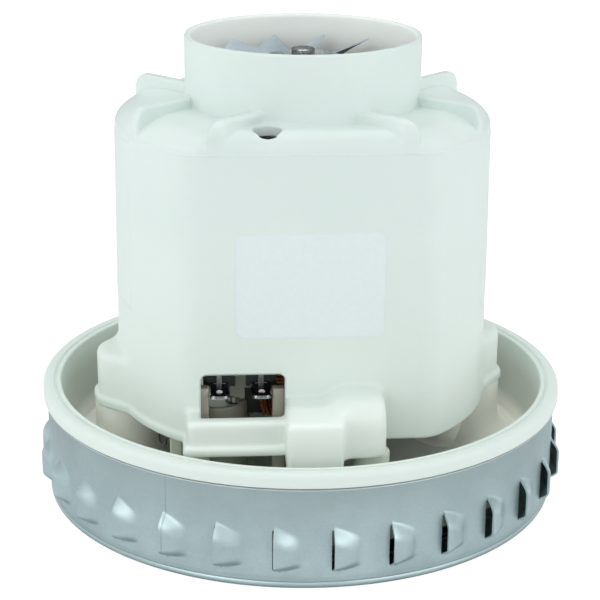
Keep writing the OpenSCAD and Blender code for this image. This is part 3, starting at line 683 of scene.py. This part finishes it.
def cover_field(x, y, z):
    r = np.hypot(x, y)
    ax, ay = np.abs(x), np.abs(y)
    side = cover_side(x, y, z, r)
    body = cover_body(x, y, z, r, side)
    d = smin(body, np.maximum(smax(r - NECK, z - TOP, 0.7), 98.0 - z), 0.7)
    rib = np.minimum(cover_rib(ax, ay, z, side, -10.7), cover_rib(ax, ay, z, side, 15.1))
    d = smin(d, rib, 0.45)
    # side bands
    band = smax(smax(r - CR - 0.14 - 0.008 * (104.0 - z), ay - 21.5, 1.2), z - 103.4, 0.8)
    d = np.minimum(d, np.maximum(band, 58.0 - z))
    # side lugs with a bead along their foot
    lx = np.abs(x * math.cos(LUG) + y * math.sin(LUG))
    ly = np.abs(y * math.cos(LUG) - x * math.sin(LUG))
    plan = smax(lx - 57.2, ((lx - 57.2) * 13.8 + (ly - 4.2) * 13.0) / 18.96, 2.2)
    plan = np.maximum(plan, ly - 20.0)
    d = smin(d, smax(plan, z - 42.2, 2.6), 2.2)
    d = smin(d, smax(plan - 1.1, z - 29.7, 1.2), 0.4)
    # brush boxes and wiring bosses, front and back alike
    xf, yf = np.where(y > 0, -x, x), -ay
    box = smax(smax(np.abs(xf) - 7.2, -58.0 - yf, 1.8), z - (39.0 + (yf + 57.0) * 0.04), 1.7)
    boss = smax(smax(xf - 18.9, 5.4 - xf, 2.6), smax(-52.3 - yf, z - 42.6, 7.0), 4.6)
    boss = smin(boss, box, 4.0)
    d = smin(d, boss, 1.0)
    # ledge under the window and the bead along the lower edge
    ledge = smax(smax(smax(x + 7.0, -32.5 - x, 1.6), -48.0 - y, 2.4), z - 36.0, 1.8)
    d = smin(d, np.maximum(ledge, y + 20.0), 1.6)
    bead = smax(smax(smax(x + 7.0, -33.6 - x, 1.0), -49.4 - y, 1.4), z - 29.4, 1.4)
    d = smin(d, np.maximum(bead, y + 20.0), 0.5)
    ang = np.arctan2(y, x)
    hoop = smax(smax(r - 52.0, z - 29.4, 1.2), np.maximum(-2.8798 - ang, ang + 2.2166) * r, 1.0)
    d = smin(d, hoop, 0.5)
    d = smax(d, LOW - z, 0.8)
    d = np.minimum(d, np.maximum(smax(box, 24.6 - z, 0.8), yf + 39.0))
    # hollows
    spot = np.hypot(x + 11.3, y + 35.0)
    d = smax(d, -np.maximum(body + 2.0, -np.maximum(spot - 5.6, 106.9 - z)), 0.5)
    d = smax(d, -np.maximum(r - 30.0, 98.0 - z), 1.0)
    cut = np.maximum(np.maximum(np.abs(xf) - 5.5, -56.2 - yf), np.maximum(yf + 30.0, z - 36.0))
    cut = np.minimum(cut, np.maximum(np.maximum(8.8 - xf, xf - 16.4),
                                     np.maximum(np.maximum(-49.6 - yf, yf + 30.0), z - 35.0)))
    cut = np.minimum(cut, np.maximum(np.maximum(x + 7.4, -30.5 - x),
                                     np.maximum(np.maximum(-46.2 - y, y + 30.0), z - 34.0)))
    cut = np.minimum(cut, np.maximum(np.hypot(lx - 49.0, ly) - 6.3, z - 39.0))
    d = smax(d, -cut, 0.5)
    # window: round upper corners, nearly square lower ones
    rc = np.where(z > 39.6, 1.6, 0.4)
    qx, qz = np.abs(x + 17.8) - 10.9 + rc, np.abs(z - 39.6) - 6.2 + rc
    win = np.hypot(np.maximum(qx, 0), np.maximum(qz, 0)) + np.minimum(np.maximum(qx, qz), 0.0) - rc
    d = smax(d, -np.maximum(win, np.maximum(-44.3 - y, y + 30.0)), 0.4)
    d = smax(d, -np.maximum(spot - 3.7, 98.0 - z), 0.35)
    return d


step = 0.6
cover = field_object("cover_moulding", cover_field, (-61.0, -61.0, 23.4), (61.0, 61.0, 130.0), step, 180000)
put(cover, "white_plastic", nodes=("motor_cover",), angle=None)


# ---------------------------------------------------------------- sticker
def label():
    w, h, rad, t = 19.1, 13.8, 2.2, 0.15
    ring = []
    for cx, cz, a0 in ((w - rad, h - rad, 0), (-w + rad, h - rad, 90), (-w + rad, -h + rad, 180), (w - rad, -h + rad, 270)):
        for k in range(9):
            a = math.radians(a0 + 90 * k / 8)
            ring.append((cx + rad * math.cos(a), cz + rad * math.sin(a)))
    n = len(ring)
    verts, faces = [], []
    for inset, y in ((0.0, 0.05), (0.0, -t + 0.06), (0.10, -t)):
        for px, pz in ring:
            k = 1.0 - inset / math.hypot(px, pz)
            verts.append((-0.4 + px * k, -40.0 + y, 69.8 + pz * k))
    for lv in range(2):
        for i in range(n):
            j = (i + 1) % n
            faces.append((lv * n + i, lv * n + j, (lv + 1) * n + j, (lv + 1) * n + i))
    faces.append(tuple(range(n))[::-1])
    faces.append(tuple(2 * n + i for i in range(n)))
    return outward(new_object("blank_label", verts, faces))


put(label(), "label", nodes=("rating_label",), angle=30.0)


# ---------------------------------------------------------------- bracket
FLOOR, RIM = 10.8, 31.9
rim = rounded([
    (7.0, 9.3, 0), (66.8, 9.3, 2.0), (68.7, 21.5, 0.6), (70.3, 21.5, 0.3), (70.3, 28.1, 0.2),
    (72.35, 28.1, 0.3), (72.35, RIM, 2.0), (69.35, RIM, 0.35), (69.1, RIM - 0.65, 0.25), (68.6, RIM - 0.65, 0.25),
    (68.4, RIM - 0.05, 0.35), (67.3, RIM - 0.05, 0.7), (65.2, 11.8, 0), (64.9, FLOOR, 2.2), (15.0, FLOOR, 1.6),
    (15.0, 21.5, 0.8), (11.05, 21.5, 0.5), (11.05, 13.5, 0), (7.0, 13.5, 0.3)], 5)
put(lathe("bracket_dish", rim, 192), "cream_plastic", nodes=("motor_bracket",), angle=40.0, mat=MAT["dish_lit_and_shaded_plastic"])


for sgn, side_name in ((-1, "left"), (1, "right")):
    turn = LUG + (0.0 if sgn > 0 else math.pi)
    foot = [(9.2 + 6.4 * (1 - math.cos(math.radians(q))), 17.1 - 6.4 * math.sin(math.radians(q))) for q in range(90, -1, -9)]
    col = [(0.0, 10.2), (15.6, 10.2)] + foot + [(9.2, 26.1), (9.05, 26.5), (8.6, 26.7), (0.0, 26.7)]
    put(lathe("bracket_pillar_" + side_name, col, 96, (49.0 * math.cos(turn), 49.0 * math.sin(turn))), "cream_plastic", nodes=("motor_bracket",), mat=MAT["pillar_lit_plastic"])
    col = rounded([(0.0, 20.0, 0), (5.5, 20.0, 0), (5.5, 38.0, 0.8), (0.0, 38.0, 0)], 4)
    put(lathe("bracket_spigot_" + side_name, col, 48, (49.0 * math.cos(turn), 49.0 * math.sin(turn))),
        "cream_plastic", nodes=("motor_bracket",))
    col = rounded([(2.0, 10.0, 0), (9.6, 10.0, 0), (9.6, 10.9, 0), (4.8, 10.9, 4.5), (4.8, 46.0, 0.4), (2.0, 46.0, 0.3)], 8)
    put(lathe("bracket_column_" + side_name, col, 48, (sgn * 42.0, 0.0)), "cream_plastic", nodes=("motor_bracket",), mat=MAT["pillar_lit_plastic"])
    col = rounded([(1.5, 10.0, 0), (3.5, 10.0, 0), (3.5, 21.5, 0.4), (1.5, 21.5, 0.3)], 3)
    put(lathe("bracket_stud_" + side_name, col, 32, (sgn * 18.0, 0.0)), "cream_plastic", nodes=("motor_bracket",))
for k, b in enumerate([(-5, 5, -54, -28, 10.0, 24.0), (-5, 5, 28, 54, 10.0, 24.0),
                       (-31, -26.6, -36.8, -33.5, 10.0, 41.0), (-9.9, -6.6, -36.8, -33.5, 10.0, 40.6),
                       (-37, -33.8, -32.4, -29.2, 10.0, 26.6)]):
    put(rbox("bracket_wall_%d" % (k + 1), *b, rad=0.5), "cream_plastic", nodes=("motor_bracket",), mat=MAT[("bay_shaded_plastic", "bay_shaded_plastic", "wall_shaded_plastic", "wall_shaded_plastic", "cream_plastic")[k]])
post = rounded([(0.0, 10.0, 0), (4.8, 10.0, 0), (4.8, 26.4, 0.8), (0.0, 26.4, 0)], 4)
put(lathe("bracket_post", post, 48, (15.5, -44.5)), "cream_plastic", nodes=("motor_bracket",))


def arc_wall(name, r1, r2, a0, a1, z1, z2, n=28, rad=0.5, centre=(0.0, 0.0)):
    prof = rounded([(r1, z1, 0), (r2, z1, 0), (r2, z2, rad), (r1, z2, rad)], 3)
    m = len(prof)
    verts, faces = [], []
    for i in range(n + 1):
        a = math.radians(a0 + (a1 - a0) * i / n)
        verts += [(centre[0] + r * math.cos(a), centre[1] + r * math.sin(a), z) for r, z in prof]
    for i in range(n):
        for k in range(m):
            l = (k + 1) % m
            faces.append((i * m + k, (i + 1) * m + k, (i + 1) * m + l, i * m + l))
    faces.append(tuple(range(m)))
    faces.append(tuple(n * m + k for k in range(m))[::-1])
    return outward(new_object(name, verts, faces))


put(arc_wall("bracket_bay_guide", 6.7, 8.1, -114, -12, 10.0, 34.0, centre=(-24.0, -25.2)), "cream_plastic", nodes=("motor_bracket",), mat=MAT["bay_shaded_plastic"])


# thin wire hook that comes out of the left pillar
hook = [(-43.8, -12.8, 24.6), (-43.0, -15.4, 25.3), (-42.1, -18.0, 25.8), (-40.9, -21.4, 25.8), (-40.5, -22.4, 25.0), (-40.3, -22.9, 23.4),
        (-40.1, -23.2, 21.2), (-39.6, -23.6, 20.0), (-38.9, -23.8, 19.7), (-38.3, -23.7, 20.3), (-38.1, -23.5, 21.3)]
put(join("wire_hook", [tube_path("", hook, 0.42, 8)]), "bright_steel", angle=60.0, mat=MAT["dull_wire"])


# painted shadow: a black leaf behind the strands of the front coil, where there is only shade
put(rbox("coil_shadow_leaf", -16.9, -9.6, -27.7, -27.3, 30.2, 37.4, rad=0.15, seg=2), "rubber")


# -------------------------------------------------------------- terminals
def tab(name, x):
    """Spade tab blade that dips towards the window, with a hole; its root and upright strip are boxes made beside it.
    """
    n = 56
    cv, dip = -36.3, math.tan(math.radians(12.8))

    def lift(y):
        return 39.95 + (y - cv) * dip

    rings = []
    for lv, (kind, off, h) in enumerate([("hole", 0.06, 0.4), ("out", 0.38, 0.4), ("out", 0.0, 0.04), ("out", 0.0, -0.24),
                                         ("out", 0.16, -0.4), ("hole", 0.06, -0.4), ("hole", 0.0, -0.3), ("hole", 0.0, 0.32)]):
        ring = []
        for i in range(n):
            a = 2 * math.pi * i / n
            c, s = math.cos(a), math.sin(a)
            if kind == "hole":
                u, v = (0.78 + off) * c, (0.78 + off) * s - 0.85
            else:
                w, l = 2.7 - off, (3.2 if s > 0 else 3.25) - off
                k = (abs(c / w) ** 5 + abs(s / l) ** (9.0 if s > 0 else 3.4)) ** 0.2 if s > 0 else (abs(c / w) ** 4.4 + abs(s / l) ** 4.4) ** (1 / 4.4)
                u, v = c / k, s / k
                v = min(v, l)
            ring.append((x + u, cv + v, lift(cv + v) + h))
        rings.append(ring)
    verts = [p for ring in rings for p in ring]
    faces = []
    for r in range(len(rings)):
        q = (r + 1) % len(rings)
        for i in range(n):
            j = (i + 1) % n
            faces.append((r * n + i, r * n + j, q * n + j, q * n + i))
    return outward(new_object(name, verts, faces))


MAT["strip_steel"] = metal("strip_steel", (0.34, 0.35, 0.35), (0.30, 0.42), 500.0, 0.8, bump=0.006)
# painted highlight for the wall of the tab's hole
MAT["hole_highlight_steel"] = metal("hole_highlight_steel", (0.92, 0.93, 0.93), (0.45, 0.55), 500.0, 0.95, 0.25, 0.006)
MAT["tab_steel"] = metal("tab_steel", (0.58, 0.59, 0.59), (0.10, 0.20), 500.0, 0.8, bump=0.006)
for k, x in ((1, -23.8), (2, -12.8)):
    blade = put(tab("tab_blade_%d" % k, x), "bright_steel", nodes=("terminal_tabs",), angle=30.0, mat=MAT["tab_steel"])
    # painted highlight: the wall of the hole is bright steel
    blade.data.materials.append(MAT["hole_highlight_steel"])
    for f in blade.data.polygons:
        if math.hypot(f.center.x / MM - x, f.center.y / MM + 37.15) < 0.9 and abs(f.normal.z) < 0.8 and f.center.y / MM > -37.0:
            f.material_index = 1
    put(rbox("tab_root_%d" % k, x - 1.75, x + 1.75, -33.3, -32.6, 40.4, 41.2, rad=0.3, seg=3), "bright_steel", nodes=("terminal_tabs",), mat=MAT["strip_steel"])
    put(rbox("tab_strip_%d" % k, x - 0.67, x + 0.67, -33.4, -32.6, 41.0, 45.6, rad=0.15, seg=2), "bright_steel", nodes=("terminal_tabs",), mat=MAT["strip_steel"])


# ------------------------------------------------------------- fan casing
def casing():
    def proud(z, t):
        """How far a louvre stands out at height z, t of the way from its open edge."""
        lo, hi = 4.9 + 1.3 * t ** 1.2, 17.0 - 3.0 * t ** 1.2
        if not lo < z < hi:
            return 0.0
        up, dn = min(1.0, (hi - z) / 4.0), min(1.0, (z - lo) / 2.0)
        return 2.45 * (1 - (1 - up) ** 1.5) * (1 - (1 - dn) ** 1.8) * math.cos(math.pi / 2 * t) ** 0.9

    rows = [(22.0, 2.4), (22.0, 1.6), (22.12, 0.95), (22.45, 0.42), (23.0, 0.1), (23.8, 0.0)]
    rows += [(r, 0.0) for r in (26.0, 30.0, 34.0, 37.4)] + [(38.0, 0.12), (38.8, 0.42), (39.6, 0.5), (45.0, 0.5),
             (52.0, 0.5), (58.4, 0.5), (59.2, 0.42), (60.0, 0.12), (60.6, 0.0), (64.0, 0.0), (67.0, 0.0)]
    rows += [(69.1, 0.0)] + [(70.0 + 1.15 * math.cos(math.radians(a)), 1.15 + 1.15 * math.sin(math.radians(a)))
                             for a in range(-90, 37, 14)]
    rows += [(71.07, 2.1), (71.1, 2.5), (71.13, 2.9), (71.17, 3.25), (71.2, 3.6)]
    rows += [(71.2, z) for z in (4.3, 4.9, 5.2, 5.5, 5.8, 6.1, 6.4, 6.7, 7.0, 7.6, 8.6, 9.8, 11.0, 12.2, 13.1, 13.7,
                                 14.1, 14.5, 14.9, 15.3, 15.7, 16.1, 16.5, 16.8, 17.0, 17.8, 19.0, 20.5, 22.0, 23.6, 25.2, 26.3)]
    rows += [(71.2, 26.9), (71.2, 27.5)]
    cols = []
    for k in range(30):
        a0 = -87.1 + 12.0 * k
        cols += [(a0 + 5.6 * t, t) for t in (0.0, 0.06, 0.13, 0.21, 0.3, 0.4, 0.5, 0.6, 0.7, 0.8, 0.9, 1.0)]
        # the slot at the open edge is a little wider than the sheet's cut
        cols += [(a0 + 5.6 + 6.4 * t, None) for t in (0.2, 0.4, 0.6, 0.8)] + [(a0 + 12.0 - 0.36, None), (a0 + 12.0 - 0.012, None)]
    m = len(rows)
    verts, faces = [], []
    for a, t in cols:
        c, s = math.cos(math.radians(a)), math.sin(math.radians(a))
        for r, z in rows:
            rr = r + (proud(z, t) if t is not None else 0.0)
            verts.append((rr * c, rr * s, z))
    n = len(cols)
    for i in range(n):
        j = (i + 1) % n
        if cols[j][1] == 0.0:
            # open edge: the sheet joins only above and below the louvre
            for k in range(m - 1):
                if not (4.85 < rows[k][1] < 16.9 and rows[k][0] > 71.0):
                    faces.append((i * m + k, j * m + k, j * m + k + 1, i * m + k + 1))
            continue
        for k in range(m - 1):
            if cols[j][1] is None and cols[i][1] is None and (cols[j][0] + 87.1) % 12.0 > 11.9 and 5.15 < rows[k][1] < 15.9 and rows[k][0] > 71.0:
                continue
            faces.append((i * m + k, j * m + k, j * m + k + 1, i * m + k + 1))
    ob = new_object("casing_sheet", verts, faces)
    bm = bmesh.new()
    bm.from_mesh(ob.data)
    bmesh.ops.remove_doubles(bm, verts=bm.verts, dist=2e-6)
    bmesh.ops.recalc_face_normals(bm, faces=bm.faces)
    # make the outside the front of the sheet
    bm.faces.ensure_lookup_table()
    far = max(bm.faces, key=lambda f: f.calc_center_median().xy.length)
    if far.normal.xy.dot(far.calc_center_median().xy) < 0:
        bmesh.ops.reverse_faces(bm, faces=bm.faces)
    bm.to_mesh(ob.data)
    bm.free()
    md = ob.modifiers.new("sheet", "SOLIDIFY")
    md.thickness = 0.0005
    md.offset = -1.0
    applied(ob)
    return ob


put(casing(), "galvanised_sheet", nodes=("fan_casing",), angle=42.0, mat=MAT["casing_sheet"])
# painted highlight: the casing's rolled top edge gets a paler, less mottled steel for the light line along it
MAT["lip_highlight_steel"] = metal("lip_highlight_steel", (0.62, 0.69, 0.70), (0.34, 0.46), 500.0, 0.9, 0.6, 0.006)
lip = [(71.5 + 0.36 * math.cos(math.radians(q)), 27.42 + 0.27 * math.sin(math.radians(q))) for q in range(0, 360, 30)]
put(lathe("casing_lip", lip, 192), "galvanised_sheet", nodes=("fan_casing",), angle=60.0, mat=MAT["lip_highlight_steel"])


# ------------------------------------------------------------ cooling fan
def fan():
    parts = []
    pitch = math.radians(32.0)
    rs = [9.4, 10.4, 12.0, 15.0, 18.0, 21.0, 23.5, 25.2, 26.0]
    ts = [-1.0, -0.8, -0.5, -0.2, 0.1, 0.4, 0.7, 0.9, 1.0]
    t = 0.4
    for k in range(12):
        a = math.radians(24.5 + 30 * k)
        ca, sa = math.cos(a), math.sin(a)
        verts = []
        for lift in (-t / 2, t / 2):
            for r in rs:
                half = 2.1 + (6.24 - 2.1) * (r - 9.4) / 16.6
                for q in ts:
                    v = q * half
                    # slight camber of the pressed blade
                    w = lift + 0.35 * (1 - q * q) * (r - 9.4) / 16.6 - 0.15
                    y, z = v * math.cos(pitch) + w * math.sin(pitch), -v * math.sin(pitch) + w * math.cos(pitch)
                    verts.append((r * ca - y * sa, r * sa + y * ca, 119.2 + z))
        n, m = len(rs), len(ts)
        faces = []
        for s in range(2):
            o = s * n * m
            for i in range(n - 1):
                for j in range(m - 1):
                    q = (o + i * m + j, o + i * m + j + 1, o + (i + 1) * m + j + 1, o + (i + 1) * m + j)
                    faces.append(q if s else q[::-1])
        b = n * m
        edge = [i * m for i in range(n)] + [(n - 1) * m + j for j in range(1, m)] + \
               [i * m + m - 1 for i in range(n - 2, -1, -1)] + [j for j in range(m - 2, 0, -1)]
        for i in range(len(edge)):
            p, q = edge[i], edge[(i + 1) % len(edge)]
            faces.append((p, q, b + q, b + p))
        parts.append((verts, faces))
    return join("fan_blades", parts)


put(fan(), "galvanised_sheet", "rotor", ("cooling_fan",), angle=35.0, mat=MAT["blade_sheet"])
hub = rounded([(3.05, 118.6, 0), (10.4, 118.6, 0.6), (11.2, 121.0, 0.3), (10.3, 121.1, 0.3), (9.4, 119.4, 0.8), (3.05, 119.4, 0)], 4)
put(lathe("fan_hub", hub, 72), "galvanised_sheet", "rotor", ("cooling_fan",))


# threaded end of the shaft; its steel has painted glints and shade, blotches from near black to bright
thread = [(2.6, 122.1)]
for i in range(3):
    thread += [(3.02, 122.1 + 0.45 * i), (3.2, 122.3 + 0.45 * i), (3.2, 122.4 + 0.45 * i)]
thread += [(3.02, 123.45), (2.8, 123.6), (0.0, 123.6), (0.0, 122.1)]
MAT["thread_glint_steel"] = metal("thread_glint_steel", (0.62, 0.62, 0.62), (0.26, 0.40), 7000.0, 0.05)
put(lathe("shaft_thread", thread, 48), "bright_steel", "rotor", angle=30.0, mat=MAT["thread_glint_steel"])


# ------------------------------------------------------------ field coils
def coil(name, turn, leads=False):
    """Two end bundles and two slot sides, laid from single strands of wire."""
    parts = []
    rw = 0.62
    rng = np.random.default_rng(7 + int(turn))

    def strand(pts):
        parts.append(tube_path("", pts, rw, 6))

    for z_lo, z_hi in ((36.1, 45.4), (80.6, 90.6)):
        rings = [(24.7, z) for z in np.arange(z_lo + 0.3, z_hi, 1.12)] + [(28.3, z) for z in np.arange(z_lo + 0.3, z_hi, 1.12)]
        rings += [(r, z_lo + 0.2) for r in (25.8, 27.0)] + [(r, z_hi - 0.2) for r in (25.8, 27.0)]
        for r, z in rings:
            ph, amp = rng.uniform(0, 6.28), rng.uniform(0.05, 0.22)
            pts = []
            for i in range(61):
                a = -164.5 + 149.0 * i / 60
                e = abs(i - 30) / 30.0
                rr = r - 0.5 * max(0.0, e - 0.9) + amp * math.sin(a * 0.11 + ph)
                zz = z + 0.8 * amp * math.sin(a * 0.17 + 2 * ph)
                zz = min(z_hi - 0.05, max(z_lo + 0.05, zz))
                rr = min(28.35, max(24.65, rr))
                a2 = math.radians(a + turn)
                pts.append((rr * math.cos(a2), rr * math.sin(a2), zz))
            strand(pts)
    for lo, hi in ((-56.0, -15.0), (-165.0, -124.0)):
        for r in (27.0, 32.4):
            for a in np.arange(lo + 0.6, hi, 2.4):
                a2 = math.radians(a + turn)
                strand([(r * math.cos(a2), r * math.sin(a2), z) for z in (44.7, 54.0, 63.0, 72.0, 81.3)])
    if leads:
        # strands that hang from the lower head towards the front brush
        for i in range(4):
            pts = []
            for k in range(9):
                t = k / 8
                pts.append((-12.7 + 1.0 * i + 1.2 * t * t, -28.6 - 0.5 * (i % 2) - 0.6 * math.sin(2.4 * t), 37.0 - 6.6 * t))
            strand(pts)
    return join(name, parts)


put(coil("front_coil_wires", 0.0, True), "copper_wire", nodes=("front_field_coil",), angle=60.0)
put(coil("rear_coil_wires", 180.0), "copper_wire", nodes=("rear_field_coil",), angle=60.0)


# ---------------------------------------------------------- brush springs
def spring(name, sgn, joint):
    pts = []
    n, turns, y0, y1 = 40, 7, 35.55, 53.05
    for i in range(turns * n + 1):
        t = i / (turns * n)
        a = 2 * math.pi * turns * t
        u = t
        e = min(t, 1 - t) * turns
        if e < 1:
            u = t + (0.5 - t) * 0.06 * (1 - e)
        pts.append((2.4 * math.cos(a) * sgn, -sgn * (y0 + (y1 - y0) * u), 29.5 + 2.4 * math.sin(a)))
    v, f = tube_path(name, pts, 0.35, 8)
    return join(name, [(v, f)])


for nm, sgn in (("front", 1), ("rear", -1)):
    ob = put(spring(nm + "_spring_wire", sgn, nm), "bright_steel", nodes=(nm + "_brush_spring",), angle=60.0)
    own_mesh(ob)


# ------------------------------------------------------------------- stage
def stage():
    me = bpy.data.meshes.new("floor")
    s = 4.0
    me.from_pydata([(-s, -s, 0), (s, -s, 0), (s, s, 0), (-s, s, 0)], [], [(0, 1, 2, 3)])
    ob = bpy.data.objects.new("floor", me)
    scene.collection.objects.link(ob)
    n = Nodes("floor_white")
    n.set(Base_Color=(0.50, 0.51, 0.51, 1.0), Roughness=0.9, Specular_IOR_Level=0.1,
          Emission_Color=(1.0, 1.0, 1.0, 1.0), Emission_Strength=0.80)
    me.materials.append(n.m)
    # seen white, without the strong light that a white sweep would throw up
    dull = n.add("ShaderNodeBsdfDiffuse", Color=(0.82, 0.83, 0.83, 1.0))
    path = n.add("ShaderNodeLightPath")
    mix = n.add("ShaderNodeMixShader")
    n.link(path.outputs["Is Camera Ray"], mix.inputs[0])
    n.link(dull.outputs[0], mix.inputs[1])
    n.link(n.b.outputs[0], mix.inputs[2])
    n.link(mix.outputs[0], next(k for k in n.t.nodes if k.type == "OUTPUT_MATERIAL").inputs["Surface"])

    world = bpy.data.worlds.new("studio")
    scene.world = world
    world.use_nodes = True
    nt = world.node_tree
    bg = nt.nodes["Background"]
    bg.inputs["Color"].default_value = (0.94, 0.98, 1.0, 1.0)
    bg.inputs["Strength"].default_value = 0.27
    seen = nt.nodes.new("ShaderNodeBackground")
    seen.inputs["Color"].default_value = (1.0, 1.0, 1.0, 1.0)
    seen.inputs["Strength"].default_value = 1.05
    mix = nt.nodes.new("ShaderNodeMixShader")
    path = nt.nodes.new("ShaderNodeLightPath")
    nt.links.new(path.outputs["Is Camera Ray"], mix.inputs[0])
    nt.links.new(bg.outputs[0], mix.inputs[1])
    nt.links.new(seen.outputs[0], mix.inputs[2])
    nt.links.new(mix.outputs[0], nt.nodes["World Output"].inputs["Surface"])

    def area(name, loc, target, size, power, size_y=None, color=(1, 1, 1)):
        d = bpy.data.lights.new(name, "AREA")
        d.energy = power
        d.color = color
        d.shape = "RECTANGLE"
        d.size = size
        d.size_y = size_y or size
        ob = bpy.data.objects.new(name, d)
        scene.collection.objects.link(ob)
        ob.location = loc
        ob.rotation_euler = (Vector(target) - Vector(loc)).to_track_quat("-Z", "Y").to_euler()
        return ob

    area("key", (-0.80, -0.95, 0.60), (0, 0, 0.07), 1.0, 4.6)
    area("fill", (0.85, -0.90, 0.50), (0, 0, 0.07), 1.0, 4.05)
    # wide soft sides and a low front that are not mirrored in the sheet metal
    area("side_left", (-1.15, 0.12, 0.45), (0, 0, 0.08), 0.9, 5.0).visible_glossy = False
    area("side_right", (1.15, 0.12, 0.45), (0, 0, 0.08), 0.9, 4.4).visible_glossy = False
    area("front_low", (0.0, -1.30, 0.36), (0, 0, 0.05), 1.0, 1.4, 0.3).visible_glossy = False
    area("top", (0.0, -0.05, 1.15), (0, 0, 0.08), 1.0, 4.5)
    area("back_top", (0.0, 0.95, 0.90), (0, 0, 0.08), 1.0, 4.2).visible_glossy = False


stage()
scene.view_settings.view_transform = "Standard"
scene.view_settings.look = "None"
